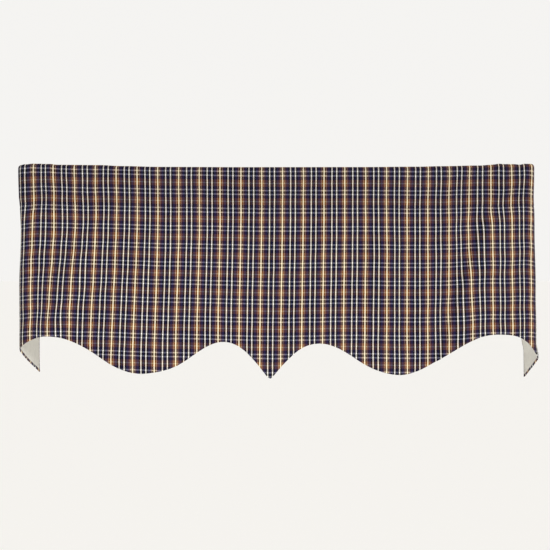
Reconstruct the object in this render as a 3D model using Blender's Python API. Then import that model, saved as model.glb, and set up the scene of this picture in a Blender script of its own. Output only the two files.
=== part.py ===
"""Scalloped plaid window valance with a rod pocket, hanging with both ends turned back to the wall.

Frame: metres, +Z up, +X to the right of someone facing the window, the front faces -Y and the
wall lies at +Y.  The origin is the middle of the top fold, above the centre point of the hem, on
the centre plane of the flat curtain rod that the pocket takes.

Every piece is a sheet laid on one surface.  A place on it is (across, down): across is measured
along the hem from the centre point, down from the top fold.
"""

import math

import bpy
import bmesh
from mathutils import Vector

# Cut size of the flat cloth
LEFT_HALF_WIDTH = 0.622
RIGHT_HALF_WIDTH = 0.640
FACE_THICKNESS = 0.0012
LINING_THICKNESS = 0.0010
LAYER_GAP = 0.0003
HEM_SETBACK = 0.0020

# Rod pocket: the channel takes a flat rod that bends back to the wall at both ends
CHANNEL_HALF_DEPTH = 0.0060
POCKET_TAPER_START = 0.070
POCKET_SEAM = 0.083
POCKET_STRIP_END = 0.088
LINING_TOP = 0.079
FOLD_SEGMENTS = 2
CREST_GAP_ANGLE = LAYER_GAP / (2.0 * CHANNEL_HALF_DEPTH)

# Plan of the hanging cloth, at its outer face: how far back the returns reach, and how far each
# leans in behind the front (out, if negative) once it hangs free of the rod
WALL_SIDE = 0.106
LEFT_RETURN_LEAN = math.radians(7.0)
RIGHT_RETURN_LEAN = math.radians(-1.0)
HANG_FROM = 0.083
HANG_FULL = 0.220

# Section of the front: how far the outer face stands out from the rod's centre plane
SEAM_STAND = 0.0030
HANG_STAND = 0.0035
HEM_STAND = 0.0050

# Hem of each half: distance from the point, drop, slope of the curve there
HEM_LEFT = (
    (0.000, 0.4260, -1.60),
    (0.050, 0.3705, -0.80),
    (0.097, 0.3490, 0.02),
    (0.175, 0.3900, 0.67),
    (0.252, 0.4168, 0.15),
    (0.350, 0.3835, -0.69),
    (0.452, 0.3448, 0.02),
    (0.540, 0.3850, 1.05),
    (0.622, 0.4315, 0.22),
)
HEM_RIGHT = (
    (0.000, 0.4260, -1.60),
    (0.050, 0.3718, -0.88),
    (0.097, 0.3522, -0.04),
    (0.175, 0.3868, 0.69),
    (0.252, 0.4156, 0.09),
    (0.355, 0.3760, -0.56),
    (0.465, 0.3405, 0.06),
    (0.520, 0.3600, 0.95),
    (0.555, 0.3915, 0.48),
    (0.640, 0.4400, 0.54),
)

# Top fold: across, height
TOP_LINE = (
    (-0.525, 0.0040),
    (-0.475, 0.0075),
    (-0.360, 0.0055),
    (-0.200, 0.0015),
    (0.000, 0.0000),
    (0.350, 0.0003),
    (0.450, 0.0055),
    (0.520, 0.0080),
    (0.550, 0.0050),
)

# Lean of the cloth, hem against top fold: across, sideways
LEAN = (
    (-0.510, -0.0060),
    (-0.430, -0.0120),
    (-0.320, -0.0115),
    (-0.200, -0.0070),
    (-0.100, -0.0040),
    (0.150, -0.0030),
    (0.280, 0.0000),
    (0.360, 0.0020),
    (0.410, 0.0070),
    (0.535, 0.0040),
)

# The two front corners: down, distance of the left and of the right return, corner radius
CORNERS = (
    (0.000, 0.5132, 0.5355, 0.017),
    (0.083, 0.5100, 0.5365, 0.014),
    (0.118, 0.5095, 0.5390, 0.018),
    (0.300, 0.5132, 0.5375, 0.022),
    (0.384, 0.5130, 0.5460, 0.023),
)

# Soft folds of the front: crest across at the top, crest across at the hem, half width on the
# left, half width on the right, height, down where it starts, down where it is full
FOLDS = (
    (-0.430, -0.475, 0.030, 0.034, 0.0035, 0.080, 0.150),
    (-0.300, -0.425, 0.042, 0.050, 0.0060, 0.075, 0.140),
    (-0.135, -0.215, 0.045, 0.055, 0.0030, 0.075, 0.150),
    (0.140, 0.235, 0.045, 0.035, 0.0022, 0.090, 0.170),
    (0.270, 0.262, 0.030, 0.035, 0.0020, 0.080, 0.160),
    (0.412, 0.328, 0.052, 0.034, 0.0090, 0.070, 0.150),
    (0.495, 0.495, 0.060, 0.030, 0.0050, 0.090, 0.260),
)

# Mesh columns: stretch start, stretch end, divisions
COLUMNS = (
    (-LEFT_HALF_WIDTH, -0.526, 6),
    (-0.526, -0.492, 6),
    (-0.492, 0.000, 27),
    (0.000, 0.512, 28),
    (0.512, 0.548, 6),
    (0.548, RIGHT_HALF_WIDTH, 6),
)
POCKET_ROWS = (0.040, POCKET_TAPER_START, LINING_TOP, POCKET_SEAM)
HANG_ROWS = 6

NORMAL_STEP = 0.0005
SHARP_ANGLE = math.radians(50.0)

# Finishes
PLAID_COLOUR = (0.060, 0.035, 0.045)
PLAID_ROUGHNESS = 0.85
LINING_COLOUR = (0.720, 0.690, 0.620)
LINING_ROUGHNESS = 0.80


def smooth(value, low, high):
    """Ease from 0 at low to 1 at high."""
    share = min(max((value - low) / (high - low), 0.0), 1.0)
    return share * share * (3.0 - 2.0 * share)


def blend(first, second, share):
    """Straight mix of two numbers."""
    return first + (second - first) * share


def read_table(table, key, column=1):
    """Smooth reading of one column of a table whose first column rises."""
    if key <= table[0][0]:
        return table[0][column]
    for here, after in zip(table, table[1:]):
        if key <= after[0]:
            return blend(here[column], after[column], smooth(key, here[0], after[0]))
    return table[-1][column]


def hem_drop(across):
    """Length of the cloth from its top fold to the hem, a smooth curve through the hem's rows."""
    hem = HEM_LEFT if across < 0.0 else HEM_RIGHT
    distance = abs(across)
    for here, after in zip(hem, hem[1:]):
        if distance <= after[0]:
            span = after[0] - here[0]
            share = (distance - here[0]) / span
            rise = here[2] * share * (1.0 - share) ** 2 - after[2] * share ** 2 * (1.0 - share)
            return blend(here[1], after[1], smooth(share, 0.0, 1.0)) + rise * span
    return hem[-1][1]


def front_stand(down):
    """Distance of the plain front from the rod's centre plane, at its outer face."""
    pocket = CHANNEL_HALF_DEPTH + FACE_THICKNESS
    if down < POCKET_SEAM:
        return blend(pocket, SEAM_STAND, smooth(down, POCKET_TAPER_START, POCKET_SEAM))
    low = blend(HANG_STAND, HEM_STAND, smooth(down, HANG_FULL, HEM_LEFT[0][1]))
    return blend(SEAM_STAND, low, smooth(down, POCKET_SEAM, HANG_FULL))


def return_plan(side, along, front, radius, stand, lean):
    """Plan of one half past the flat front: a quarter turn, then the return, which reaches the wall.

    Gives x and y of the outer face and the outward direction."""
    turn = math.pi / 2 + lean
    angle = min(along / radius, turn)
    x = front + radius * math.sin(angle)
    y = radius * (1.0 - math.cos(angle)) - stand
    if angle == turn:
        half_width = LEFT_HALF_WIDTH if side < 0.0 else RIGHT_HALF_WIDTH
        share = (along - radius * turn) / (half_width - front - radius * turn)
        x += share * (WALL_SIDE - y) / math.tan(turn)
        y += share * (WALL_SIDE - y)
    return side * x, y, side * math.sin(angle), -math.cos(angle)


def plan_point(across, down):
    """Plan of the plain cloth at one height: x, y and the outward direction."""
    share = smooth(down, HANG_FROM, hem_drop(across))
    placed = across - read_table(LEAN, across) * (1.0 - share)
    side = -1.0 if placed < 0.0 else 1.0
    stand = front_stand(down)
    radius = read_table(CORNERS, down, 3)
    front = read_table(CORNERS, down, 1 if side < 0.0 else 2) - radius
    along = abs(placed) - front
    if along <= 0.0:
        return placed, -stand, 0.0, -1.0
    lean = LEFT_RETURN_LEAN if side < 0.0 else RIGHT_RETURN_LEAN
    return return_plan(side, along, front, radius, stand, lean * smooth(down, HANG_FROM, HANG_FULL))


def fold_relief(across, down):
    """How far the soft folds lift the front."""
    drop = hem_drop(across)
    relief = 0.0
    for top, hem, left, right, height, start, full in FOLDS:
        crest = blend(top, hem, (down - POCKET_SEAM) / (drop - POCKET_SEAM))
        width = left if across < crest else right
        reach = abs(across - crest) / width
        if reach < 2.0:
            relief += height * (0.5 + 0.5 * math.cos(math.pi * reach / 2.0)) ** 2 * smooth(down, start, full)
    return relief


def place(across, down, lift):
    """Point lifted off the plain cloth by a distance."""
    x, y, out_x, out_y = plan_point(across, down)
    return Vector((x + out_x * lift, y + out_y * lift, read_table(TOP_LINE, across) - down))


def front_surface(across, down):
    """Outer face of the front, below the fold."""
    return place(across, down, fold_relief(across, down))


def fold_surface(across, turn):
    """Outer face of the top fold: turn runs from 0 at the front to pi at the back."""
    radius = CHANNEL_HALF_DEPTH + FACE_THICKNESS
    down = radius * (1.0 - math.sin(turn))
    return place(across, down, radius * (math.cos(turn) - 1.0))


def strip_surface(across, down):
    """Channel side of the strip that closes the pocket at the back."""
    under_layers = FACE_THICKNESS + LINING_THICKNESS + 2.0 * LAYER_GAP
    open_lift = -FACE_THICKNESS - 2.0 * CHANNEL_HALF_DEPTH
    closed_lift = fold_relief(across, down) - under_layers
    return place(across, down, blend(open_lift, closed_lift, smooth(down, POCKET_TAPER_START, LINING_TOP)))


def sink(surface, across, along, depth):
    """Point of a surface moved inwards, square to it."""
    point = surface(across, along)
    side_step = surface(across + NORMAL_STEP, along) - surface(across - NORMAL_STEP, along)
    down_step = surface(across, along + NORMAL_STEP) - surface(across, along - NORMAL_STEP)
    return point - down_step.cross(side_step).normalized() * depth


def sink_fold(across, turn, depth):
    """Point of the top fold moved inwards, towards its axis."""
    point = fold_surface(across, turn)
    side_step = fold_surface(across + NORMAL_STEP, turn) - fold_surface(across - NORMAL_STEP, turn)
    turn_step = fold_surface(across, turn - NORMAL_STEP) - fold_surface(across, turn + NORMAL_STEP)
    return point - turn_step.cross(side_step).normalized() * depth


def column_places():
    """Places across the cloth where the mesh has a column."""
    places = [COLUMNS[0][0]]
    for start, end, divisions in COLUMNS:
        places += [blend(start, end, step / divisions) for step in range(1, divisions + 1)]
    return places


def hanging_rows(across, setback):
    """Heights of the rows from under the pocket down to the hem."""
    low = hem_drop(across) - setback
    return [blend(POCKET_STRIP_END, low, step / HANG_ROWS) for step in range(HANG_ROWS + 1)]


def face_column(across, depth):
    """Points of one column of the face cloth, from the crest of the top fold to the hem."""
    crest = math.pi / 2 - CREST_GAP_ANGLE
    turns = [blend(crest, 0.0, step / FOLD_SEGMENTS) for step in range(FOLD_SEGMENTS + 1)]
    points = [sink_fold(across, turn, depth) for turn in turns]
    heights = [*POCKET_ROWS, *hanging_rows(across, 0.0)]
    return points + [sink(front_surface, across, down, depth) for down in heights]


def lining_column(across, depth):
    """Points of one column of the lining, which lies behind the face cloth."""
    heights = [LINING_TOP, POCKET_SEAM, *hanging_rows(across, HEM_SETBACK)]
    return [sink(front_surface, across, down, depth) for down in heights]


def strip_column(across, depth):
    """Points of one column of the turned-over strip, from the crest of the top fold down the back."""
    crest = math.pi / 2 + CREST_GAP_ANGLE
    turns = [blend(crest, math.pi, step / FOLD_SEGMENTS) for step in range(FOLD_SEGMENTS + 1)]
    points = [sink_fold(across, turn, FACE_THICKNESS - depth) for turn in turns]
    heights = [POCKET_TAPER_START, LINING_TOP, POCKET_SEAM, POCKET_STRIP_END]
    return points + [sink(strip_surface, across, down, depth) for down in heights]


def sheet_object(name, column, outer, thickness, material):
    """Closed sheet from the points of its outer and inner columns."""
    mesh = bpy.data.meshes.new(name)
    sheet = bmesh.new()
    places = column_places()
    sides = []
    for depth in (outer, outer + thickness):
        sides.append([[sheet.verts.new(point) for point in column(across, depth)] for across in places])
    front, back = sides
    last_column = len(places) - 1
    last_row = len(front[0]) - 1
    for here in range(last_column):
        for row in range(last_row):
            after, below = here + 1, row + 1
            sheet.faces.new((front[here][row], front[here][below], front[after][below], front[after][row]))
            sheet.faces.new((back[here][row], back[after][row], back[after][below], back[here][below]))
    rim = [(here, 0) for here in range(last_column)]
    rim += [(last_column, row) for row in range(last_row)]
    rim += [(here, last_row) for here in range(last_column, 0, -1)]
    rim += [(0, row) for row in range(last_row, 0, -1)]
    for (here, row), (after, below) in zip(rim, rim[1:] + rim[:1]):
        sheet.faces.new((front[here][row], front[after][below], back[after][below], back[here][row]))
    sheet.to_mesh(mesh)
    sheet.free()
    mesh.shade_smooth()
    mesh.set_sharp_from_angle(angle=SHARP_ANGLE)
    mesh.materials.append(material)
    result = bpy.data.objects.new(name, mesh)
    bpy.context.scene.collection.objects.link(result)
    return result


def cloth_material(name, colour, roughness):
    """Plain finish of one cloth."""
    material = bpy.data.materials.new(name)
    material.use_nodes = True
    shader = material.node_tree.nodes["Principled BSDF"]
    shader.inputs["Base Color"].default_value = (*colour, 1.0)
    shader.inputs["Roughness"].default_value = roughness
    shader.inputs["Metallic"].default_value = 0.0
    return material


def main():
    for old in list(bpy.data.objects):
        bpy.data.objects.remove(old, do_unlink=True)
    plaid = cloth_material("plaid_cloth", PLAID_COLOUR, PLAID_ROUGHNESS)
    lining = cloth_material("lining_cloth", LINING_COLOUR, LINING_ROUGHNESS)
    lining_depth = FACE_THICKNESS + LAYER_GAP
    sheet_object("face_panel", face_column, 0.0, FACE_THICKNESS, plaid)
    sheet_object("pocket_strip", strip_column, 0.0, FACE_THICKNESS, plaid)
    sheet_object("lining_panel", lining_column, lining_depth, LINING_THICKNESS, lining)


main()
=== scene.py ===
"""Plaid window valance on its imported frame: face cloth, lining, pocket stitching and a pale studio.

Frame: metres, +Z up, the front faces -Y and the wall lies at +Y.  The origin is the middle of the
top fold.  A place on the cloth is (across, down): across runs along the hem from the centre point,
down runs from the top fold, both measured on the cloth.  Run is the way along the cloth from the
middle of the fold, which goes round the fold before it goes down.
"""
import math

import bpy
import numpy as np
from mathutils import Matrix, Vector


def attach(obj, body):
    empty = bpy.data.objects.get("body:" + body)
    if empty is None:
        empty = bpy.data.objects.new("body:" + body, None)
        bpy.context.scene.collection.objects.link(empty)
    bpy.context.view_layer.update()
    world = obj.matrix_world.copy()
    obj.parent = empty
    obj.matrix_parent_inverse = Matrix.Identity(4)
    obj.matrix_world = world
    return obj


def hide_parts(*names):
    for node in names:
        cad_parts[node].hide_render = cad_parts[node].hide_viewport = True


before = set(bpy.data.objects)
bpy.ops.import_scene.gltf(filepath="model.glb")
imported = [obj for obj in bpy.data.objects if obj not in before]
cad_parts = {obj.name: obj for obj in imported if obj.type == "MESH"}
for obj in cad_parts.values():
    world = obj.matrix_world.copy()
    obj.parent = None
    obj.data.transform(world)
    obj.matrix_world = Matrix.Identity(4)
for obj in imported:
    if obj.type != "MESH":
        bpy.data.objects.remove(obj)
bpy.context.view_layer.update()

bl_info = {
    "name": "Scalloped plaid valance",
    "version": (1, 0, 0),
    "blender": (4, 5, 0),
    "location": "3D View > Sidebar > Valance",
    "description": "Makes the cloth, lining and stitching of a scalloped window valance",
    "category": "Add Mesh",
}

BODY = "root"

# Cut of the flat cloth and of the rod pocket, as the frame has them
LEFT_HALF_WIDTH = 0.622
RIGHT_HALF_WIDTH = 0.640
FRAME_CLOTH = 0.0012
FRAME_LINING = 0.0010
FRAME_GAP = 0.0003
CHANNEL_HALF_DEPTH = 0.0060
FOLD_RADIUS = CHANNEL_HALF_DEPTH + FRAME_CLOTH
POCKET_SEAM = 0.083
POCKET_STRIP_END = 0.088
LINING_TOP = 0.079

# Run of a place on the front, less its distance down
FOLD_LEAD = (math.pi / 2 - 1.0) * FOLD_RADIUS

# Plan of the hanging cloth
WALL_SIDE = 0.106
LEFT_RETURN_LEAN = math.radians(7.0)
RIGHT_RETURN_LEAN = math.radians(-1.0)
HANG_FROM = 0.083
HANG_FULL = 0.220

# Section of the front: where the pocket starts to close below the rod, and how far the outer face
# stands out from the rod's centre plane
POCKET_SLOPE_START = 0.012
SEAM_STAND = 0.0030
HANG_STAND = 0.0035
HEM_STAND = 0.0050

# Hem of each half: distance from the point, drop, slope of the curve there
HEM_LEFT = (
    (0.000, 0.4268, -0.35),
    (0.009, 0.4200, -1.25),
    (0.022, 0.4030, -1.25),
    (0.050, 0.3729, -0.92),
    (0.097, 0.3530, 0.02),
    (0.175, 0.3938, 0.67),
    (0.252, 0.4190, 0.15),
    (0.350, 0.3860, -0.69),
    (0.452, 0.3482, 0.02),
    (0.540, 0.3875, 0.62),
    (0.622, 0.4308, 0.46),
)
HEM_RIGHT = (
    (0.000, 0.4268, -0.75),
    (0.010, 0.4165, -1.25),
    (0.050, 0.3748, -0.85),
    (0.097, 0.3556, -0.04),
    (0.175, 0.3885, 0.69),
    (0.252, 0.4186, 0.09),
    (0.300, 0.4105, -0.40),
    (0.355, 0.3792, -0.56),
    (0.465, 0.3435, 0.06),
    (0.520, 0.3613, 0.86),
    (0.555, 0.3925, 0.62),
    (0.640, 0.4430, 0.54),
)

# Hanging cloth: across, height that its drop is measured from
TOP_LINE = (
    (-0.525, 0.0040),
    (-0.475, 0.0075),
    (-0.360, 0.0055),
    (-0.200, 0.0015),
    (0.000, 0.0000),
    (0.350, 0.0003),
    (0.450, 0.0055),
    (0.520, 0.0080),
    (0.550, 0.0050),
)

# Top fold, pushed up by the rod and crumpled at the ends: across, height of its crest
CREST_LINE = (
    (-0.560, 0.0060),
    (-0.518, 0.0068),
    (-0.488, 0.0090),
    (-0.457, 0.0084),
    (-0.442, 0.0068),
    (-0.358, 0.0062),
    (-0.316, 0.0043),
    (-0.232, 0.0026),
    (-0.063, 0.0020),
    (0.178, 0.0022),
    (0.300, 0.0030),
    (0.347, 0.0040),
    (0.432, 0.0054),
    (0.450, 0.0066),
    (0.470, 0.0088),
    (0.496, 0.0080),
    (0.509, 0.0073),
    (0.524, 0.0090),
    (0.550, 0.0095),
    (0.600, 0.0070),
)
# How far down the crest still shows
CREST_REACH = 0.030

# Lean of the cloth, hem against top fold: across, sideways
LEAN = (
    (-0.510, -0.0060),
    (-0.430, -0.0120),
    (-0.320, -0.0115),
    (-0.200, -0.0070),
    (-0.100, -0.0040),
    (0.150, -0.0030),
    (0.280, 0.0000),
    (0.360, 0.0020),
    (0.410, 0.0070),
    (0.535, 0.0040),
)

# The two front corners: down, distance of the left and of the right return, corner radius
CORNERS = (
    (0.000, 0.5137, 0.5368, 0.015),
    (0.060, 0.5132, 0.5366, 0.014),
    (0.100, 0.5104, 0.5385, 0.015),
    (0.130, 0.5103, 0.5397, 0.018),
    (0.240, 0.5143, 0.5429, 0.021),
    (0.358, 0.5136, 0.5442, 0.022),
    (0.388, 0.5134, 0.5486, 0.023),
)

# Main soft folds of the front: crest across at the top, crest across at the hem, half width on the
# left, half width on the right, height, down where it starts, down where it is full
FOLDS = (
    (-0.353, -0.445, 0.044, 0.018, 0.0058, 0.100, 0.200),
    (-0.244, -0.309, 0.030, 0.032, 0.0022, 0.090, 0.180),
    (-0.066, -0.118, 0.026, 0.030, 0.0014, 0.085, 0.160),
    (0.100, 0.098, 0.020, 0.026, 0.0022, 0.080, 0.140),
    (0.188, 0.252, 0.022, 0.036, 0.0038, 0.095, 0.180),
    (0.378, 0.274, 0.018, 0.016, 0.0018, 0.080, 0.120),
    (0.461, 0.349, 0.015, 0.062, 0.0074, 0.080, 0.125),
)

# Fine creases of the front: across and down of both ends, half width, height (a trough if negative)
CREASES = (
    (-0.505, 0.012, -0.470, 0.045, 0.0100, 0.0007),
    (-0.440, 0.006, -0.452, 0.060, 0.0080, -0.0006),
    (-0.250, 0.090, -0.290, 0.200, 0.0160, -0.0008),
    (0.455, 0.008, 0.448, 0.070, 0.0100, -0.0007),
    (0.490, 0.012, 0.500, 0.060, 0.0100, 0.0006),
    (-0.505, 0.004, -0.488, 0.030, 0.0045, -0.0010),
    (-0.514, 0.074, -0.470, 0.096, 0.0050, -0.0012),
    (-0.500, 0.100, -0.492, 0.190, 0.0070, -0.0009),
    (0.503, 0.000, 0.500, 0.030, 0.0040, -0.0011),
    (0.522, 0.000, 0.516, 0.028, 0.0040, 0.0010),
    (0.516, 0.070, 0.478, 0.100, 0.0055, -0.0010),
)

# Warp of the plaid, from the middle of the gold stripe to the middle between two ivory lines, and
# weft, from the middle of the rust stripe to the middle between two white lines: start, yarn
WARP_CHART = (
    (0.00000, "gold"),
    (0.00118, "ochre"),
    (0.00420, "tan"),
    (0.00490, "plum"),
    (0.00810, "violet"),
    (0.01200, "ink"),
    (0.01532, "ivory"),
    (0.01748, "ink"),
    (0.02020, "navy"),
)
WEFT_CHART = (
    (0.00000, "cream"),
    (0.00100, "rust"),
    (0.00660, "maroon"),
    (0.01295, "white"),
    (0.01565, "black"),
)

# How far the hung cloth pulls its warp sideways off the cut: across, at the top fold, at half
# height, at the hem
WARP_DRIFT = (
    (-0.520, -0.0070, -0.0035, -0.0065),
    (-0.486, -0.0065, -0.0030, -0.0060),
    (-0.449, 0.0005, -0.0005, 0.0005),
    (-0.407, 0.0015, -0.0005, 0.0010),
    (-0.321, 0.0020, 0.0020, 0.0010),
    (-0.193, 0.0000, -0.0005, -0.0005),
    (-0.107, -0.0010, -0.0010, -0.0010),
    (0.020, 0.0005, 0.0010, 0.0010),
    (0.170, 0.0030, 0.0025, 0.0025),
    (0.235, 0.0020, 0.0005, 0.0010),
    (0.300, 0.0015, 0.0020, 0.0025),
    (0.364, 0.0005, 0.0010, 0.0040),
    (0.407, -0.0025, 0.0000, -0.0020),
    (0.449, -0.0025, -0.0035, -0.0010),
    (0.492, 0.0005, -0.0005, 0.0020),
    (0.530, 0.0030, 0.0040, 0.0070),
)

# How far it pulls its weft down: across, at the top fold, at the hem
WEFT_DRIFT = (
    (-0.480, 0.0000, 0.0010),
    (-0.396, -0.0010, 0.0015),
    (-0.200, 0.0002, 0.0006),
    (0.010, -0.0006, -0.0018),
    (0.160, -0.0006, 0.0000),
    (0.300, -0.0015, -0.0012),
    (0.366, -0.0016, 0.0000),
    (0.451, -0.0048, 0.0000),
    (0.493, -0.0058, -0.0017),
)
# Where the weft's chart starts, and the runs at which the columns of both tables hold
WEFT_START = 0.0013
DRIFT_TOP = 0.030
DRIFT_MIDDLE = 0.170
DRIFT_LOW = 0.340

# Wobble of the yarns: wavelength, height everywhere, height added near the ends, seed
WARP_WOBBLE = (0.075, 0.0002, 0.0005, 51)
WEFT_WOBBLE = (0.060, 0.0002, 0.0003, 52)

# Small uneven waves of the cloth: wavelength, height, seed
WAVES = {
    "gathers below": (0.021, 0.00035, 11),
    "gathers above": (0.017, 0.00025, 12),
    "slanting": (0.105, 0.0005, 21),
    "level": (0.120, 0.0003, 22),
    "hem": (0.060, 0.0006, 23),
    "crest": (0.016, 0.0005, 31),
    "tucks": (0.026, 0.0004, 41),
}
# Slants of the loose waves, the drop where they are full, and how far up the hem waves reach
WAVE_SLANT = 0.18
LEVEL_SLANT = 0.25
LOOSE_FULL = 0.200
HEM_LOOSE = 0.090

# Stretches over which the crest crumples, the strip's tucks grow and the yarns wobble more
CRUMPLED_ENDS = (0.420, 0.500)
TUCKED = (0.010, 0.060)
LOOSE_ENDS = (0.250, 0.480)

# Pocket seam: how soon its gathers start, how far they reach below and above, depth and width of
# the hollow that the seam pulls in
SEAM_EDGE = 0.004
GATHER_BELOW = 0.050
GATHER_ABOVE = 0.030
SEAM_HOLLOW = 0.0005
SEAM_HOLLOW_WIDTH = 0.0022

# Columns: the stretches round the two corners, where they stand closer, their spacing on the
# returns, round the corners and on the front, and their number round an end and for the areas
LEFT_CORNER = (-0.530, -0.480)
RIGHT_CORNER = (0.505, 0.555)
CLOTH_STEPS = (0.0050, 0.0020, 0.0030)
LINING_STEPS = (0.0060, 0.0028, 0.0060)
END_COLUMNS = 5
AREA_COLUMNS = 600

# Rows: the stretches give down at the start, down at the end and the number of rows
STRIP_ROWS = ((POCKET_STRIP_END, 0.072, 6), (0.066, 0.010, 11))
POCKET_ROWS = ((0.011, 0.070, 15), (0.0735, 0.0815, 4), (POCKET_SEAM, 0.089, 5))
LINING_SEAM_ROWS = ((LINING_TOP, 0.090, 6),)
FOLD_ROWS = 9
HANG_ROWS = 55
HANG_CROWDING = 0.96
HEM_ROWS = 6
LINING_ROWS = 46
SHARP_ANGLE = math.radians(60.0)

# Step that a surface's directions are measured over, how far the turned ends reach in, and how far
# the lining keeps clear of the turned ends and of the turned hem
NORMAL_STEP = 0.0005
END_TURN_IN = 0.0020
LINING_END_GAP = 0.0005
LINING_HEM_GAP = 0.0007

# How much of the surface each warp yarn covers: the pale ones are plied thicker
WARP_COVER = {
    "gold": 0.87,
    "ochre": 0.56,
    "tan": 0.66,
    "plum": 0.70,
    "violet": 0.73,
    "ink": 0.70,
    "ivory": 0.74,
    "navy": 0.72,
}


# ---------------------------------------------------------------- settings


def length_property(name, description, default, low, high, **more):
    """Setting of one length."""
    return bpy.props.FloatProperty(name=name, description=description, default=default, min=low, max=high,
                                   unit="LENGTH", **more)


class ValanceSizes(bpy.types.PropertyGroup):
    """Sizes of the cloth, its edges, its weave and its stitching."""

    cloth_thickness: length_property(
        "Cloth thickness", "Thickness of the plaid cloth", 0.0006, 0.0002, 0.0020)
    lining_thickness: length_property(
        "Lining thickness", "Thickness of the lining", 0.0004, 0.0001, 0.0010)
    lining_depth: length_property(
        "Lining depth", "Depth of the lining's hidden face behind the front of the plaid",
        0.0019, 0.0007, 0.0030)
    hem_roll: length_property(
        "Hem roll", "Radius of the turned edge round the hem and the two ends", 0.0011, 0.0003, 0.0040)
    hem_turn_up: length_property(
        "Hem turn-up", "Plaid that shows inside the hem above the roll", 0.0030, 0.0002, 0.0100)
    warp_repeat: length_property(
        "Warp repeat", "Width of one plaid repeat", 0.0428, 0.01, 0.3)
    weft_repeat: length_property(
        "Weft repeat", "Height of one plaid repeat", 0.0367, 0.01, 0.3)
    yarn_pitch: length_property(
        "Yarn pitch", "Distance from one yarn to the next", 0.00065, 0.0002, 0.003, precision=5)
    # Painted shade: the colour of the pocket's doubled cloth is darkened by this share. It stands for the
    # light that shines through the single cloth below the seam.
    painted_pocket_shade: bpy.props.FloatProperty(
        name="Pocket shade",
        description="Brightness of the doubled cloth of the pocket beside the single cloth",
        default=0.95, min=0.5, max=1.0)
    stitch_length: length_property(
        "Stitch length", "Length of one stitch of the pocket seam", 0.0026, 0.001, 0.01)
    stitch_gap: length_property(
        "Stitch gap", "Gap between two stitches", 0.0006, 0.0001, 0.01)
    thread_radius: length_property(
        "Thread radius", "Radius of the sewing thread", 0.00022, 0.00005, 0.001, precision=5)


def yarn_property(name, description, coded):
    """Colour setting of one yarn, as a screen shows it."""
    return bpy.props.FloatVectorProperty(
        name=name, description=description, subtype="COLOR_GAMMA", size=3, min=0.0, max=1.0,
        default=tuple(channel / 255.0 for channel in coded))


class ValanceColours(bpy.types.PropertyGroup):
    """Colours of the dyed yarns, the lining and the thread."""

    gold: yarn_property("Gold yarn", "Pale gold line of the warp", (246, 233, 200))
    ochre: yarn_property("Ochre yarn", "Golden brown beside the gold line", (87, 53, 3))
    tan: yarn_property("Tan yarn", "Thin tan line outside the ochre", (205, 179, 164))
    plum: yarn_property("Plum yarn", "Dark plum of the warp", (55, 31, 46))
    violet: yarn_property("Violet yarn", "Violet navy of the warp", (34, 32, 68))
    ink: yarn_property("Ink yarn", "Near black beside the ivory lines", (11, 11, 19))
    ivory: yarn_property("Ivory yarn", "Ivory lines of the warp", (246, 242, 232))
    navy: yarn_property("Navy yarn", "Navy ground of the warp", (15, 19, 58))
    rust: yarn_property("Rust yarn", "Rust stripe of the weft", (143, 88, 52))
    cream: yarn_property("Cream yarn", "Fine line in the rust stripe", (216, 200, 168))
    maroon: yarn_property("Maroon yarn", "Near black red beside the rust stripe", (28, 13, 34))
    white: yarn_property("White yarn", "White lines of the weft", (246, 243, 240))
    black: yarn_property("Black yarn", "Black between the white lines of the weft", (13, 11, 19))
    lining: yarn_property("Lining", "Off-white lining cloth", (210, 207, 198))
    thread: yarn_property("Thread", "Sewing thread of the pocket seam", (30, 28, 40))


def light_property(name, description, default, high):
    """Setting of how strong one light is."""
    return bpy.props.FloatProperty(name=name, description=description, default=default, min=0.0, max=high)


class StudioSettings(bpy.types.PropertyGroup):
    """Camera, floor and light."""

    camera_place: bpy.props.FloatVectorProperty(
        name="Camera place", description="Where the camera stands", subtype="TRANSLATION",
        size=3, default=(0.0091, -1.513, -0.2168))
    focal_length: bpy.props.FloatProperty(
        name="Focal length", description="Focal length on a 36 mm sensor, in millimetres",
        default=48.83, min=10.0, max=300.0)
    floor_height: bpy.props.FloatProperty(
        name="Floor height", description="Height of the studio floor",
        default=-1.80, max=-0.5, unit="LENGTH")
    backdrop: bpy.props.FloatVectorProperty(
        name="Backdrop", description="Pale colour of floor and surroundings", subtype="COLOR",
        size=3, min=0.0, max=1.0, default=(0.96, 0.95, 0.93))
    key_strength: light_property(
        "Key light", "Strength of the soft far light from the upper right", 1.60, 50.0)
    fill_power: light_property(
        "Low light", "Power of the soft light near the floor in front, in watts", 7.0, 2000.0)
    wall_light: light_property(
        "Wall light", "Strength of the surroundings behind the valance", 0.78, 5.0)
    sky_light: light_property(
        "Overhead light", "Strength added to the surroundings straight overhead", 0.42, 5.0)
    room_light: light_property(
        "Room light", "Strength of the surroundings in front of the valance", 0.23, 5.0)
    backdrop_light: light_property(
        "Backdrop light", "Strength of the surroundings where the camera sees them", 0.95, 5.0)


# ---------------------------------------------------------------- shape of the hanging cloth


def ease(value, low, high):
    """Ease from 0 at low to 1 at high."""
    share = np.clip((value - low) / (high - low), 0.0, 1.0)
    return share * share * (3.0 - 2.0 * share)


def mix(first, second, share):
    """Straight mix of two values."""
    return first + (second - first) * share


def read_table(table, key, column=1):
    """Smooth reading of one column of a table whose first column rises."""
    rows = np.array(table)
    here = np.clip(np.searchsorted(rows[:, 0], key, side="left") - 1, 0, len(rows) - 2)
    share = ease(key, rows[here, 0], rows[here + 1, 0])
    return mix(rows[here, column], rows[here + 1, column], share)


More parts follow.
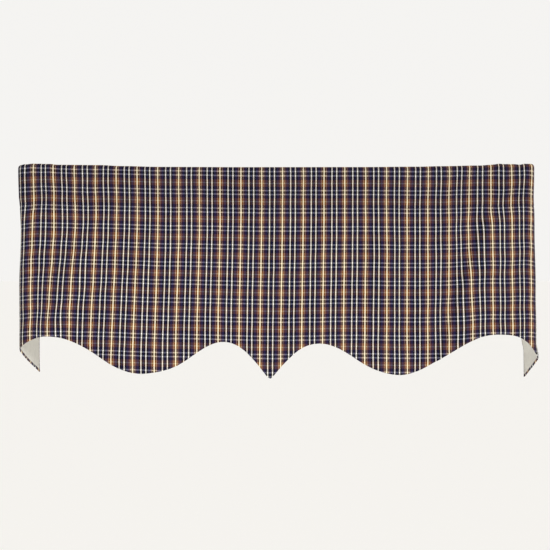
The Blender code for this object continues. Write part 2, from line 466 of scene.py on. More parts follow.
def half_hem(hem, distance):
    """Drop of one half of the hem, a smooth curve through its rows."""
    rows = np.array(hem)
    here = np.clip(np.searchsorted(rows[:, 0], distance, side="left") - 1, 0, len(rows) - 2)
    first, second = rows[here], rows[here + 1]
    span = second[..., 0] - first[..., 0]
    share = np.clip((distance - first[..., 0]) / span, 0.0, 1.0)
    rise = first[..., 2] * share * (1.0 - share) ** 2 - second[..., 2] * share ** 2 * (1.0 - share)
    return mix(first[..., 1], second[..., 1], ease(share, 0.0, 1.0)) + rise * span


def hem_drop(across):
    """Length of the cloth from its top fold to the hem."""
    return np.where(across < 0.0, half_hem(HEM_LEFT, -across), half_hem(HEM_RIGHT, across))


def front_stand(down):
    """Distance of the plain front from the rod's centre plane, at its outer face."""
    pocket = mix(FOLD_RADIUS, SEAM_STAND, ease(down, POCKET_SLOPE_START, POCKET_SEAM))
    low = mix(HANG_STAND, HEM_STAND, ease(down, HANG_FULL, HEM_LEFT[0][1]))
    hanging = mix(SEAM_STAND, low, ease(down, POCKET_SEAM, HANG_FULL))
    return np.where(down < POCKET_SEAM, pocket, hanging)


def plan_point(across, down):
    """Plan of the plain cloth at one height: x, y and the outward direction."""
    share = ease(down, HANG_FROM, hem_drop(across))
    placed = across - read_table(LEAN, across) * (1.0 - share)
    side = np.where(placed < 0.0, -1.0, 1.0)
    stand = front_stand(down)
    radius = read_table(CORNERS, down, 3)
    reach = np.where(placed < 0.0, read_table(CORNERS, down, 1), read_table(CORNERS, down, 2))
    front = reach - radius
    along = np.abs(placed) - front
    lean = np.where(placed < 0.0, LEFT_RETURN_LEAN, RIGHT_RETURN_LEAN) * ease(down, HANG_FROM, HANG_FULL)
    turn = math.pi / 2 + lean
    angle = np.clip(along / radius, 0.0, turn)
    x = front + radius * np.sin(angle)
    y = radius * (1.0 - np.cos(angle)) - stand
    half_width = np.where(placed < 0.0, LEFT_HALF_WIDTH, RIGHT_HALF_WIDTH)
    straight = np.clip(along / radius - turn, 0.0, None) * radius / (half_width - front - radius * turn)
    x = x + straight * (WALL_SIDE - y) / np.tan(turn)
    y = y + straight * (WALL_SIDE - y)
    flat = along <= 0.0
    x = np.where(flat, placed, side * x)
    y = np.where(flat, -stand, y)
    return x, y, np.where(flat, 0.0, side * np.sin(angle)), np.where(flat, -1.0, -np.cos(angle))


def main_folds(across, down):
    """How far the main soft folds lift the front."""
    share = (down - POCKET_SEAM) / (hem_drop(across) - POCKET_SEAM)
    lift = 0.0
    for top, hem, left, right, height, start, full in FOLDS:
        crest = mix(top, hem, share)
        reach = np.minimum(np.abs(across - crest) / np.where(across < crest, left, right), 2.0)
        lift = lift + height * (0.5 + 0.5 * np.cos(math.pi * reach / 2.0)) ** 2 * ease(down, start, full)
    return lift


def fine_creases(across, down):
    """How far the short creases lift the front."""
    lift = 0.0
    for x_start, z_start, x_end, z_end, width, height in CREASES:
        run = np.array((x_end - x_start, z_end - z_start))
        length = float(np.hypot(*run))
        along = ((across - x_start) * run[0] + (down - z_start) * run[1]) / length
        beside = ((across - x_start) * run[1] - (down - z_start) * run[0]) / length
        ends = ease(along, -0.4 * length, 0.3 * length) * (1.0 - ease(along, 0.7 * length, 1.4 * length))
        lift = lift + height * np.exp(-(beside / width) ** 2) * ends
    return lift


def ripple(position, wavelength, seed):
    """Uneven wave along one direction, between about -1 and 1."""
    phases = np.random.default_rng(seed).uniform(0.0, 2.0 * math.pi, 4)
    waves = ((1.0, 0.42), (0.62, 0.28), (1.63, 0.18), (0.31, 0.30))
    return sum(weight * np.sin(2.0 * math.pi * position * pace / wavelength + phase)
               for (pace, weight), phase in zip(waves, phases))


def wave(name, position):
    """Height of one kind of uneven wave."""
    wavelength, height, seed = WAVES[name]
    return height * ripple(position, wavelength, seed)


def seam_pucker(across, down):
    """Gathers along the pocket seam, and the slight hollow of the seam itself."""
    below = (ease(down, POCKET_SEAM, POCKET_SEAM + SEAM_EDGE)
             * (1.0 - ease(down, POCKET_SEAM, POCKET_SEAM + GATHER_BELOW)))
    above = ((1.0 - ease(down, POCKET_SEAM - SEAM_EDGE, POCKET_SEAM))
             * ease(down, POCKET_SEAM - GATHER_ABOVE, POCKET_SEAM))
    gathers = wave("gathers below", across) * below + wave("gathers above", across) * above
    return gathers - SEAM_HOLLOW * np.exp(-((down - POCKET_SEAM) / SEAM_HOLLOW_WIDTH) ** 2)


def loose_waves(across, down):
    """Broad, very shallow unevenness of cloth that hangs loose."""
    hanging = ease(down, POCKET_SEAM, LOOSE_FULL)
    slanted = wave("slanting", across + WAVE_SLANT * down)
    level = wave("level", down + LEVEL_SLANT * across)
    drop = hem_drop(across)
    return hanging * (slanted + level) + wave("hem", across) * ease(down, drop - HEM_LOOSE, drop)


def relief(across, down):
    """How far everything uneven lifts the front from the plain cloth."""
    return (main_folds(across, down) + fine_creases(across, down)
            + seam_pucker(across, down) + loose_waves(across, down))


def top_height(across, down):
    """Height that the drop is measured from: the fold's crest at the top, the hanging cloth below it."""
    crumpled = ease(np.abs(across), *CRUMPLED_ENDS)
    crest = read_table(CREST_LINE, across) + wave("crest", across) * crumpled
    return mix(crest, read_table(TOP_LINE, across), ease(down, 0.0, CREST_REACH))


def place(across, down, lift):
    """Points lifted off the plain cloth by a distance."""
    x, y, out_x, out_y = plan_point(across, down)
    return np.stack((x + out_x * lift, y + out_y * lift, top_height(across, down) - down), axis=-1)


def front_surface(across, down):
    """Outer face of the front, below the fold."""
    return place(across, down, relief(across, down))


def fold_surface(across, turn):
    """Outer face of the top fold: turn runs from 0 at the front to pi at the back."""
    down = FOLD_RADIUS * (1.0 - np.sin(turn))
    front_share = 1.0 - ease(turn, 0.0, math.pi / 2)
    return place(across, down, FOLD_RADIUS * (np.cos(turn) - 1.0) + relief(across, down) * front_share)


def back_surface(across, down):
    """Outer face of the turned-down strip that closes the pocket at the back."""
    thickness = bpy.context.scene.valance_sizes.cloth_thickness
    under = FRAME_CLOTH + FRAME_LINING + 2.0 * FRAME_GAP + thickness
    closed = relief(across, down) - under
    lift = mix(-2.0 * FOLD_RADIUS, closed, ease(down, POCKET_SLOPE_START, LINING_TOP))
    tucks = wave("tucks", across) * ease(down, *TUCKED)
    return place(across, down, lift - np.abs(tucks))


def put_in(name, data):
    """Object of its data, put in the scene."""
    made = bpy.data.objects.new(name, data)
    bpy.context.scene.collection.objects.link(made)
    return made


def unit(vectors):
    """Vectors made one metre long."""
    return vectors / np.linalg.norm(vectors, axis=-1, keepdims=True)


def directions(surface, across, along):
    """Unit directions along a surface: across the cloth, and down it."""
    side = surface(across + NORMAL_STEP, along) - surface(across - NORMAL_STEP, along)
    fall = surface(across, along + NORMAL_STEP) - surface(across, along - NORMAL_STEP)
    return unit(side), unit(fall)


def outward(surface, across, along, flip=1.0):
    """Unit directions square to a surface."""
    side, fall = directions(surface, across, along)
    return unit(np.cross(fall, side)) * flip


# ---------------------------------------------------------------- meshes


def spaced(start, end, step):
    """Even places from start up to, but without, end."""
    count = max(1, round((end - start) / step))
    return start + (end - start) * np.arange(count) / count


def spread_columns(start, end, steps):
    """Columns from one end up to, but without, the other, with the steps of returns, corners and front."""
    edges = (start, *LEFT_CORNER, *RIGHT_CORNER, end)
    on_return, on_corner, on_front = steps
    spacing = (on_return, on_corner, on_front, on_corner, on_return)
    return np.concatenate([spaced(*stretch) for stretch in zip(edges, edges[1:], spacing)])


def rows_down(stretches):
    """Rows of one or more stretches, as one row of places."""
    return np.concatenate([np.linspace(*stretch) for stretch in stretches])[None, :]


def cloth_columns(roll):
    """Columns across the cloth: place, and how far round the turned end edge each one lies."""
    half_turn = np.linspace(0.0, math.pi, END_COLUMNS)
    inner_left = -LEFT_HALF_WIDTH + roll
    inner_right = RIGHT_HALF_WIDTH - roll
    places = spread_columns(inner_left, inner_right, CLOTH_STEPS)
    left = np.concatenate(([inner_left + END_TURN_IN], inner_left - roll * np.sin(half_turn[:0:-1])))
    right = np.concatenate((inner_right + roll * np.sin(half_turn), [inner_right - END_TURN_IN]))
    across = np.concatenate((left, places, right))
    angles = np.concatenate(([math.pi], half_turn[:0:-1], np.zeros(len(places)), half_turn, [math.pi]))
    return across, angles


def grid_object(name, outer, inner, cloth_map, bake_map=None):
    """Closed sheet from grids of outer and inner points, columns first, with its maps."""
    columns, rows = outer.shape[:2]
    number = np.arange(columns * rows).reshape(columns, rows)
    here, after = number[:-1], number[1:]
    face_quads = np.stack((here[:, :-1], here[:, 1:], after[:, 1:], after[:, :-1]), axis=-1).reshape(-1, 4)
    inner_quads = face_quads[:, ::-1] + number.size
    rim = np.concatenate((number[:-1, 0], number[-1, :-1], number[:0:-1, -1], number[0, :0:-1]))
    next_rim = np.roll(rim, -1)
    rim_quads = np.stack((rim, next_rim, next_rim + number.size, rim + number.size), axis=-1)
    quads = np.concatenate((face_quads, inner_quads, rim_quads))
    points = np.concatenate((outer.reshape(-1, 3), inner.reshape(-1, 3)))
    mesh = bpy.data.meshes.new(name)
    mesh.from_pydata(points.tolist(), [], quads.tolist())
    loops = quads.reshape(-1)
    flat_map = np.concatenate((cloth_map.reshape(-1, 2), cloth_map.reshape(-1, 2)))
    layer = mesh.uv_layers.new(name="cloth")
    layer.data.foreach_set("uv", flat_map[loops].astype(np.float32).reshape(-1))
    if bake_map is not None:
        layer = mesh.uv_layers.new(name="OFBake")
        layer.data.foreach_set("uv", bake_map(quads, number.size).astype(np.float32).reshape(-1))
    mesh.uv_layers["cloth"].active = True
    mesh.shade_smooth()
    mesh.set_sharp_from_angle(angle=SHARP_ANGLE)
    return put_in(name, mesh)


def two_level_map(across, run, columns, rows):
    """Bake map of the face cloth: outer side large in two stacked halves, inner side small beside them."""
    fill, small_width, edge, side_gap, half_gap = 0.98, 0.40, 0.005, 0.010, 0.004
    width = RIGHT_HALF_WIDTH
    height = float(run.max() - run.min())
    large = fill / (2.0 * height)
    small = min(fill - large * width, small_width) / width
    left_half = across < 0.0

    def corners(quads, count):
        """Places on the map of each corner of each face."""
        inner = quads.min(axis=1) >= count
        column = (quads % count) // rows
        half = left_half[np.minimum(column.min(axis=1), columns - 1)]
        u = across[column] + np.where(half, LEFT_HALF_WIDTH, 0.0)[:, None]
        v = run.reshape(-1)[quads % count] - run.min()
        scale = np.where(inner, small, large)[:, None]
        x = edge + u * scale + np.where(inner, large * width + side_gap, 0.0)[:, None]
        y = edge + (v + np.where(half, height + half_gap, 0.0)[:, None]) * scale
        return np.stack((x, y), axis=-1).reshape(-1, 2)

    return corners


def wobble(kind, position, loose):
    """Small uneven sideways move of a yarn, larger towards the ends of the valance."""
    wavelength, height, more, seed = kind
    return (height + more * loose) * ripple(position, wavelength, seed)


def drifted(across, run):
    """Place of each point in the weave: hung cloth pulls its yarns a little off the cut."""
    high = mix(read_table(WARP_DRIFT, across, 1), read_table(WARP_DRIFT, across, 2),
               ease(run, DRIFT_TOP, DRIFT_MIDDLE))
    warp = mix(high, read_table(WARP_DRIFT, across, 3), ease(run, DRIFT_MIDDLE, DRIFT_LOW))
    weft = mix(read_table(WEFT_DRIFT, across, 1), read_table(WEFT_DRIFT, across, 2),
               ease(run, DRIFT_TOP, DRIFT_LOW))
    loose = ease(np.abs(across), *LOOSE_ENDS)
    warp = warp + wobble(WARP_WOBBLE, run + 0.5 * across, loose)
    weft = weft + wobble(WEFT_WOBBLE, across + 0.3 * run, loose)
    return np.stack((across + warp, run + weft + WEFT_START), axis=-1)


def face_grid(sizes):
    """Grids of the face cloth: places, directions outward and inward, turn of the edge, run."""
    roll = sizes.hem_roll
    across, angles = cloth_columns(roll)
    drop = hem_drop(across)[:, None]
    wide, side_turn = across[:, None], angles[:, None]
    parts = []

    def part(surface, along, run, hem_turn, flip):
        """Rows of the cloth on one surface; flip turns its outward direction round."""
        x, along, run, hem_turn = np.broadcast_arrays(wide, along, run, hem_turn)
        side, fall = directions(surface, x, along)
        normal = unit(np.cross(fall, side)) * flip
        inward = np.where((hem_turn < side_turn)[..., None], -np.sign(x)[..., None] * side, -fall)
        parts.append((surface(x, along), normal, inward, np.maximum(side_turn, hem_turn), run))

    strip = rows_down(STRIP_ROWS)
    part(back_surface, strip, -(strip + FOLD_LEAD), 0.0, -1.0)
    turns = np.linspace(math.pi, 0.0, FOLD_ROWS)[None, :]
    part(fold_surface, turns, FOLD_RADIUS * (math.pi / 2 - turns), 0.0, -1.0)
    pocket = rows_down(POCKET_ROWS)
    part(front_surface, pocket, pocket + FOLD_LEAD, 0.0, 1.0)
    share = np.linspace(0.0, 1.0, HANG_ROWS)[None, 1:]
    hanging = mix(POCKET_ROWS[-1][1], drop - roll, share ** HANG_CROWDING)
    part(front_surface, hanging, hanging + FOLD_LEAD, 0.0, 1.0)
    hem_turns = np.linspace(0.0, math.pi, HEM_ROWS)[None, 1:]
    rounded = drop - roll + roll * np.sin(hem_turns)
    part(front_surface, rounded, drop - roll + roll * hem_turns + FOLD_LEAD, hem_turns, 1.0)
    inside = drop - roll - sizes.hem_turn_up
    inside_run = drop - roll + roll * math.pi + sizes.hem_turn_up + FOLD_LEAD
    part(front_surface, inside, inside_run, math.pi, 1.0)

    joined = [np.concatenate([each[index] for each in parts], axis=1) for index in range(5)]
    return across, *joined


def make_face_cloth(sizes):
    """The plaid cloth, one sheet from the bottom of the pocket's back, over the fold, to inside the hem."""
    across, base, normal, inward, turn, run = face_grid(sizes)
    roll, thickness = sizes.hem_roll, sizes.cloth_thickness
    outer = base - normal * (roll * (1.0 - np.cos(turn)))[..., None]
    inner_depth = roll - (roll - thickness) * np.cos(turn)
    inner = base - normal * inner_depth[..., None] + inward * (thickness * np.sin(turn))[..., None]
    cloth_map = drifted(across[:, None] + 0.0 * run, run)
    return grid_object("face_cloth", outer, inner, cloth_map,
                       two_level_map(across, run, *run.shape))


class VALANCE_OT_face_cloth(bpy.types.Operator):
    """Make the plaid face cloth with its rod pocket"""

    bl_idname = "valance.face_cloth"
    bl_label = "Face cloth"

    def execute(self, context):
        scene = context.scene
        cloth = make_face_cloth(scene.valance_sizes)
        cloth.data.materials.append(plaid_material(scene.valance_sizes, scene.valance_colours))
        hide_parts("face_panel", "pocket_strip")
        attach(cloth, BODY)
        return {"FINISHED"}


def make_lining(sizes):
    """The lining, from the pocket seam to just above the hem's turned edge."""
    roll = sizes.hem_roll
    ends = roll + END_TURN_IN + LINING_END_GAP
    start, end = -LEFT_HALF_WIDTH + ends, RIGHT_HALF_WIDTH - ends
    across = np.append(spread_columns(start, end, LINING_STEPS), end)
    wide = across[:, None]
    low = hem_drop(across)[:, None] - roll - sizes.hem_turn_up - LINING_HEM_GAP
    near_seam = rows_down(LINING_SEAM_ROWS) + 0.0 * wide
    hanging = mix(LINING_SEAM_ROWS[-1][1], low, np.linspace(0.0, 1.0, LINING_ROWS)[None, 1:])
    down = np.concatenate((near_seam, hanging), axis=1)
    wide = wide + 0.0 * down
    base = front_surface(wide, down)
    normal = outward(front_surface, wide, down)
    outer = base - normal * sizes.lining_depth
    inner = outer - normal * sizes.lining_thickness
    return grid_object("lining_cloth", outer, inner, np.stack((wide, down), axis=-1))


class VALANCE_OT_lining(bpy.types.Operator):
    """Make the off-white lining"""

    bl_idname = "valance.lining"
    bl_label = "Lining"

    def execute(self, context):
        scene = context.scene
        cloth = make_lining(scene.valance_sizes)
        cloth.data.materials.append(lining_material(scene.valance_sizes, scene.valance_colours))
        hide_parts("lining_panel")
        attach(cloth, BODY)
        return {"FINISHED"}


# ---------------------------------------------------------------- finishes


SCREEN_GAMMA = 2.2

# Plaid: how far each crossing shifts the share of its two yarns, fineness of the slubs beside and
# along a yarn, tone and roughness from the slubs (span, least), and how softly the pocket's painted shade
# ends
CROSSING_SHARE = 0.16
SLUB_FINE = 0.9
SLUB_LONG = 60.0
SLUB_TONE = (0.40, 0.80)
SLUB_ROUGHNESS = (0.16, 0.76)
PAINTED_SHADE_EDGE = 0.003

# Lining: its yarns against the plaid's, scale of its mottle, and roughness from that (span, least)
LINING_PITCH_SHARE = 0.7
MOTTLE_SCALE = 90.0
MOTTLE_ROUGHNESS = (0.14, 0.72)


class NodeSheet:
    """Short ways to lay the nodes of one tree."""

    def __init__(self, tree):
        """Start a sheet on one tree."""
        self.tree = tree

    def node(self, kind, inputs=(), **settings):
        """New node with its settings, and its inputs linked or set."""
        node = self.tree.nodes.new(kind)
        for name, value in settings.items():
            setattr(node, name, value)
        for socket, value in dict(inputs).items():
            if isinstance(value, bpy.types.NodeSocket):
                self.tree.links.new(value, node.inputs[socket])
            else:
                node.inputs[socket].default_value = value
        return node

    def math(self, operation, first, second=0.0, third=0.0):
        """Result of one sum."""
        return self.node("ShaderNodeMath", {0: first, 1: second, 2: third}, operation=operation).outputs[0]

    def cloth_map(self):
        """Place in the weave, whole and as its two parts."""
        place_on = self.node("ShaderNodeUVMap", uv_map="cloth").outputs[0]
        parts = self.node("ShaderNodeSeparateXYZ", {0: place_on})
        return place_on, parts.outputs[0], parts.outputs[1]

    def thread_wave(self, place, pitch):
        """Wave that changes sign from one yarn to the next."""
        return self.math("SINE", self.math("MULTIPLY", place, math.pi / pitch))

    def noise(self, place, scale, detail):
        """Soft noise on a map."""
        return self.node("ShaderNodeTexNoise", {"Vector": place, "Scale": scale, "Detail": detail},
                         noise_dimensions="2D").outputs["Fac"]

    def paint(self, shader, value, coded):
        """Base colour from a screen colour, made lighter or darker by a value."""
        toned = self.node("ShaderNodeHueSaturation", {"Value": value, "Color": coded})
        linear = self.node("ShaderNodeGamma", {"Color": toned.outputs[0], "Gamma": SCREEN_GAMMA})
        self.tree.links.new(linear.outputs[0], shader.inputs["Base Color"])

    def surface(self, shader, roughness, height, strength, depth):
        """Roughness and the small relief of the weave."""
        self.tree.links.new(roughness, shader.inputs["Roughness"])
        bump = self.node("ShaderNodeBump", {"Strength": strength, "Distance": depth, "Height": height})
        self.tree.links.new(bump.outputs[0], shader.inputs["Normal"])

    def chart(self, position, chart, length, colours, cover):
        """Constant colours along a chart; the second result is how much the yarn covers."""
        node = self.node("ShaderNodeValToRGB", {0: position})
        ramp = node.color_ramp
        ramp.interpolation = "CONSTANT"
        while len(ramp.elements) < len(chart):
            ramp.elements.new(1.0)
        for element, (start, yarn) in zip(ramp.elements, chart):
            element.position = start / length
            element.color = (*getattr(colours, yarn), cover.get(yarn, 1.0))
        return node.outputs["Color"], node.outputs["Alpha"]


def new_finish(name):
    """New material, the sheet of its nodes, and its shader."""
    material = bpy.data.materials.new(name)
    material.use_nodes = True
    return material, NodeSheet(material.node_tree), material.node_tree.nodes["Principled BSDF"]


def plaid_material(sizes, colours):
    """Plain weave of dyed yarns, charted in warp and weft on the cloth's own map."""
    material, sheet, shader = new_finish("plaid_weave")
    place_on, across, run = sheet.cloth_map()

    half_warp, half_weft = sizes.warp_repeat / 2.0, sizes.weft_repeat / 2.0
    warp_phase = sheet.math("ADD", across, half_warp)
    warp_place = sheet.math("DIVIDE", sheet.math("PINGPONG", warp_phase, half_warp), half_warp)
    weft_place = sheet.math("DIVIDE", sheet.math("PINGPONG", run, half_weft), half_weft)
    warp, cover = sheet.chart(warp_place, WARP_CHART, half_warp, colours, WARP_COVER)
    weft, _ = sheet.chart(weft_place, WEFT_CHART, half_weft, colours, {})

    weave = sheet.math("MULTIPLY", sheet.thread_wave(across, sizes.yarn_pitch),
                       sheet.thread_wave(run, sizes.yarn_pitch))
    share = sheet.math("MULTIPLY_ADD", weave, CROSSING_SHARE, cover)
    blend = sheet.node("ShaderNodeMix", {0: share, 6: weft, 7: warp}, data_type="RGBA")

    fine = SLUB_FINE / sizes.yarn_pitch
    slubs = []
    for stretch in ((SLUB_LONG, fine, 1.0), (fine, SLUB_LONG, 1.0)):
        along = sheet.node("ShaderNodeVectorMath", {0: place_on, 1: stretch}, operation="MULTIPLY")
        slubs.append(sheet.noise(along.outputs[0], 1.0, 2.0))
    slub = sheet.node("ShaderNodeMix", {0: share, 2: slubs[0], 3: slubs[1]}, data_type="FLOAT").outputs[0]
    # Painted shade: the colour above the pocket seam is darkened. It stands for the light that shines
    # through the single cloth below the seam and not through the doubled pocket.
    seam_run = POCKET_SEAM + FOLD_LEAD
    shade = sheet.node("ShaderNodeMapRange", {
        "Value": run, "From Min": seam_run - PAINTED_SHADE_EDGE, "From Max": seam_run + PAINTED_SHADE_EDGE,
        "To Min": sizes.painted_pocket_shade, "To Max": 1.0}, interpolation_type="SMOOTHSTEP").outputs["Result"]
    value = sheet.math("MULTIPLY", sheet.math("MULTIPLY_ADD", slub, *SLUB_TONE), shade)
    sheet.paint(shader, value, blend.outputs[2])
    rough = sheet.math("MULTIPLY_ADD", slub, *SLUB_ROUGHNESS)
    sheet.surface(shader, rough, sheet.math("ABSOLUTE", weave), strength=0.35, depth=0.00012)
    shader.inputs["Specular IOR Level"].default_value = 0.16
    shader.inputs["Sheen Weight"].default_value = 0.04
    shader.inputs["Sheen Roughness"].default_value = 0.5
    return material


def lining_material(sizes, colours):
    """Fine off-white cotton."""
    material, sheet, shader = new_finish("lining_weave")
    place_on, across, run = sheet.cloth_map()
    pitch = LINING_PITCH_SHARE * sizes.yarn_pitch
    weave = sheet.math("ABSOLUTE", sheet.math("MULTIPLY", sheet.thread_wave(across, pitch),
                                              sheet.thread_wave(run, pitch)))
    mottle = sheet.noise(place_on, MOTTLE_SCALE, 3.0)
    value = sheet.math("MULTIPLY_ADD", mottle, 0.08, sheet.math("MULTIPLY_ADD", weave, 0.06, 0.92))
    sheet.paint(shader, value, (*colours.lining, 1.0))
    rough = sheet.math("MULTIPLY_ADD", mottle, *MOTTLE_ROUGHNESS)
    sheet.surface(shader, rough, weave, strength=0.25, depth=0.00008)
    shader.inputs["Specular IOR Level"].default_value = 0.25
    return material


def thread_material(colours):
    """Twisted sewing thread."""
    material, sheet, shader = new_finish("sewing_thread")
    place_on = sheet.node("ShaderNodeTexCoord").outputs["Object"]
    twist = sheet.node("ShaderNodeTexWave", {"Vector": place_on, "Scale": 900.0, "Distortion": 0.6},
                       bands_direction="DIAGONAL").outputs["Fac"]
    sheet.paint(shader, sheet.math("MULTIPLY_ADD", twist, 0.4, 0.8), (*colours.thread, 1.0))
    shader.inputs["Roughness"].default_value = 0.55
    return material


# ---------------------------------------------------------------- stitching


# How far the seam keeps from the two ends, points along it, and how far the thread stands out
SEAM_END = 0.004
SEAM_POINTS = 640
THREAD_STAND = 0.3


def stitch_tree(material):
    """Node tree that lays stitches end to end along a line."""
    tree = bpy.data.node_groups.new("pocket_stitches", "GeometryNodeTree")
    tree.is_modifier = True
    tree.interface.new_socket("Seam line", in_out="INPUT", socket_type="NodeSocketGeometry")
    for name in ("Stitch length", "Stitch gap", "Thread radius"):
        tree.interface.new_socket(name, in_out="INPUT", socket_type="NodeSocketFloat")
    tree.interface.new_socket("Stitches", in_out="OUTPUT", socket_type="NodeSocketGeometry")
    sheet = NodeSheet(tree)
    given = sheet.node("NodeGroupInput")
    line, length, gap, radius = (given.outputs[index] for index in range(4))
    pitch = sheet.math("ADD", length, gap)
    along = sheet.node("GeometryNodeMeshToCurve", {"Mesh": line})
    even = sheet.node("GeometryNodeResampleCurve", {"Curve": along.outputs[0], "Length": pitch},
                      mode="LENGTH")
    tangent = sheet.node("GeometryNodeInputTangent")
    turn = sheet.node("FunctionNodeAlignRotationToVector", {"Vector": tangent.outputs[0]}, axis="X")
    bead = sheet.node("GeometryNodeMeshUVSphere", {"Segments": 6, "Rings": 5, "Radius": 1.0})
    half = sheet.math("MULTIPLY", length, 0.5)
    scale = sheet.node("ShaderNodeCombineXYZ", {0: half, 1: radius, 2: radius})
    placed = sheet.node("GeometryNodeInstanceOnPoints", {
        "Points": even.outputs[0], "Instance": bead.outputs["Mesh"],
        "Rotation": turn.outputs[0], "Scale": scale.outputs[0]})
    real = sheet.node("GeometryNodeRealizeInstances", {0: placed.outputs[0]})
    smooth = sheet.node("GeometryNodeSetShadeSmooth", {0: real.outputs[0]})
    painted = sheet.node("GeometryNodeSetMaterial", {"Geometry": smooth.outputs[0], "Material": material})
    sheet.node("NodeGroupOutput", {0: painted.outputs[0]})
    return tree


def make_stitches(sizes, material):
    """Stitches of the pocket seam, on the front and on the back."""
    across = np.linspace(-LEFT_HALF_WIDTH + SEAM_END, RIGHT_HALF_WIDTH - SEAM_END, SEAM_POINTS)
    along = np.full_like(across, POCKET_SEAM)
    raised = THREAD_STAND * sizes.thread_radius
    front = front_surface(across, along) + outward(front_surface, across, along) * raised
    back = back_surface(across, along) + outward(back_surface, across, along, -1.0) * raised
    points = np.concatenate((front, back))
    count = len(across)
    links = [(index, index + 1) for index in range(2 * count - 1) if index != count - 1]
    mesh = bpy.data.meshes.new("seam_lines")
    mesh.from_pydata(points.tolist(), links, [])
    lines = put_in("seam_lines", mesh)
    tree = stitch_tree(material)
    modifier = lines.modifiers.new("stitches", "NODES")
    modifier.node_group = tree
    values = {"Stitch length": sizes.stitch_length, "Stitch gap": sizes.stitch_gap,
              "Thread radius": sizes.thread_radius}
    for socket in tree.interface.items_tree:
        if socket.in_out == "INPUT" and socket.name in values:
            modifier[socket.identifier] = values[socket.name]
    bpy.context.view_layer.update()
    laid = lines.evaluated_get(bpy.context.evaluated_depsgraph_get())
    finished = bpy.data.meshes.new_from_object(laid)
    bpy.data.objects.remove(lines, do_unlink=True)
    finished.name = "pocket_stitches"
    return put_in("pocket_stitches", finished)


class VALANCE_OT_stitches(bpy.types.Operator):
    """Sew the pocket seam"""

    bl_idname = "valance.stitches"
    bl_label = "Pocket stitches"

    def execute(self, context):
        scene = context.scene
        material = thread_material(scene.valance_colours)
        stitches = make_stitches(scene.valance_sizes, material)
        if len(stitches.data.polygons) == 0:
            raise RuntimeError("the pocket seam has no stitches")
        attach(stitches, BODY)
        return {"FINISHED"}


class VALANCE_OT_declare(bpy.types.Operator):
    """Work out the hem's drop across the cloth, without keeping it"""

    bl_idname = "valance.declare"
    bl_label = "Cut sizes"

    def execute(self, context):
        across = np.linspace(-LEFT_HALF_WIDTH, RIGHT_HALF_WIDTH, AREA_COLUMNS)
        drop = hem_drop(across)
        return {"FINISHED"}


# ---------------------------------------------------------------- studio


FLOOR_REACH = 200.0
LIGHT_COLOUR = (1.0, 0.99, 0.97)
LIGHT_TARGET = (0.0, 0.0, -0.20)
KEY_PLACE = (7.4, -7.0, 5.6)
KEY_ANGLE = math.radians(20.0)
LOW_PLACE = (-0.1, -1.0, -1.10)
LOW_SIZE = 0.6
SENSOR_WIDTH = 36.0


def studio_floor(settings):
    """Wide pale floor."""
    reach = FLOOR_REACH
    mesh = bpy.data.meshes.new("studio_floor")
    corners = [(-reach, -reach), (reach, -reach), (reach, reach), (-reach, reach)]
    mesh.from_pydata([(x, y, settings.floor_height) for x, y in corners], [], [(0, 1, 2, 3)])
    material, _, shader = new_finish("studio_floor")
    shader.inputs["Base Color"].default_value = (*settings.backdrop, 1.0)
    shader.inputs["Roughness"].default_value = 1.0
    shader.inputs["Specular IOR Level"].default_value = 0.0
    mesh.materials.append(material)
    return put_in("studio_floor", mesh)


def soft_light(name, kind, place, power, **shape):
    """Soft light that looks at the middle of the valance."""
    lamp = bpy.data.lights.new(name, kind)
    lamp.energy = power
    lamp.color = LIGHT_COLOUR
    for setting, value in shape.items():
        setattr(lamp, setting, value)
    holder = put_in(name, lamp)
    holder.location = place
    holder.rotation_euler = (Vector(LIGHT_TARGET) - Vector(place)).to_track_quat("-Z", "Y").to_euler()
    holder.visible_camera = False


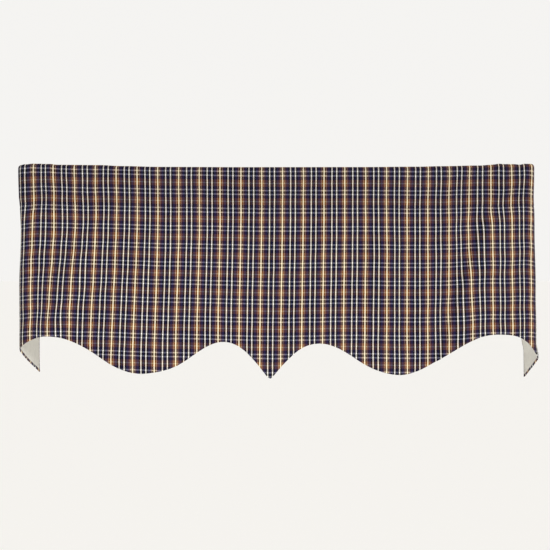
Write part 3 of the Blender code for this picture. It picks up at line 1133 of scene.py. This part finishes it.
class VALANCE_OT_studio(bpy.types.Operator):
    """Set the pale floor, the soft light and the camera"""

    bl_idname = "valance.studio"
    bl_label = "Studio"

    def execute(self, context):
        scene = context.scene
        settings = scene.valance_studio
        studio_floor(settings)
        world = bpy.data.worlds.new("studio")
        world.use_nodes = True
        sheet = NodeSheet(world.node_tree)
        towards = sheet.node("ShaderNodeSeparateXYZ", {
            0: sheet.node("ShaderNodeTexCoord").outputs["Generated"]})
        level = sheet.node("ShaderNodeMapRange", {
            "Value": towards.outputs[1], "From Min": -0.2, "From Max": 0.7,
            "To Min": settings.room_light, "To Max": settings.wall_light}, interpolation_type="SMOOTHSTEP")
        overhead = sheet.node("ShaderNodeMapRange", {
            "Value": towards.outputs[2], "From Min": 0.0, "From Max": 0.9,
            "To Min": 0.0, "To Max": settings.sky_light})
        cast = sheet.math("ADD", level.outputs[0], overhead.outputs[0])
        seen = sheet.node("ShaderNodeLightPath").outputs["Is Camera Ray"]
        strength = sheet.node("ShaderNodeMix", {0: seen, 2: cast, 3: settings.backdrop_light},
                              data_type="FLOAT").outputs[0]
        surround = world.node_tree.nodes["Background"]
        surround.inputs["Color"].default_value = (*settings.backdrop, 1.0)
        world.node_tree.links.new(strength, surround.inputs["Strength"])
        scene.world = world
        soft_light("key", "SUN", KEY_PLACE, settings.key_strength, angle=KEY_ANGLE)
        soft_light("low", "AREA", LOW_PLACE, settings.fill_power, size=LOW_SIZE)
        camera = bpy.data.cameras.new("camera")
        camera.lens = settings.focal_length
        camera.sensor_width = SENSOR_WIDTH
        holder = put_in("camera", camera)
        holder.location = settings.camera_place
        holder.rotation_euler = (math.pi / 2, 0.0, 0.0)
        scene.camera = holder
        scene.view_settings.view_transform = "Standard"
        return {"FINISHED"}


class VALANCE_PT_panel(bpy.types.Panel):
    """Sidebar list of the valance's settings and steps"""

    bl_idname = "VALANCE_PT_panel"
    bl_label = "Valance"
    bl_space_type = "VIEW_3D"
    bl_region_type = "UI"
    bl_category = "Valance"

    def draw(self, context):
        """Lay out one button for each step and one box for each group of settings."""
        for operator in STEPS:
            self.layout.operator(operator.bl_idname)
        for name in SETTINGS:
            group = getattr(context.scene, name)
            box = self.layout.box()
            for key in group.__annotations__:
                box.prop(group, key)


STEPS = (VALANCE_OT_face_cloth, VALANCE_OT_lining, VALANCE_OT_stitches, VALANCE_OT_declare,
         VALANCE_OT_studio)
SETTINGS = {
    "valance_sizes": ValanceSizes,
    "valance_colours": ValanceColours,
    "valance_studio": StudioSettings,
}


def register():
    """Add the settings, the steps and the panel."""
    for name, group in SETTINGS.items():
        bpy.utils.register_class(group)
        setattr(bpy.types.Scene, name, bpy.props.PointerProperty(type=group))
    for operator in STEPS:
        bpy.utils.register_class(operator)
    bpy.utils.register_class(VALANCE_PT_panel)


def unregister():
    """Take the panel, the steps and the settings away."""
    bpy.utils.unregister_class(VALANCE_PT_panel)
    for operator in reversed(STEPS):
        bpy.utils.unregister_class(operator)
    for name, group in SETTINGS.items():
        delattr(bpy.types.Scene, name)
        bpy.utils.unregister_class(group)


def main():
    """Make the valance step by step."""
    register()
    bpy.ops.valance.studio()
    bpy.ops.valance.face_cloth()
    bpy.ops.valance.lining()
    bpy.ops.valance.stitches()
    bpy.ops.valance.declare()


if __name__ == "__main__":
    main()
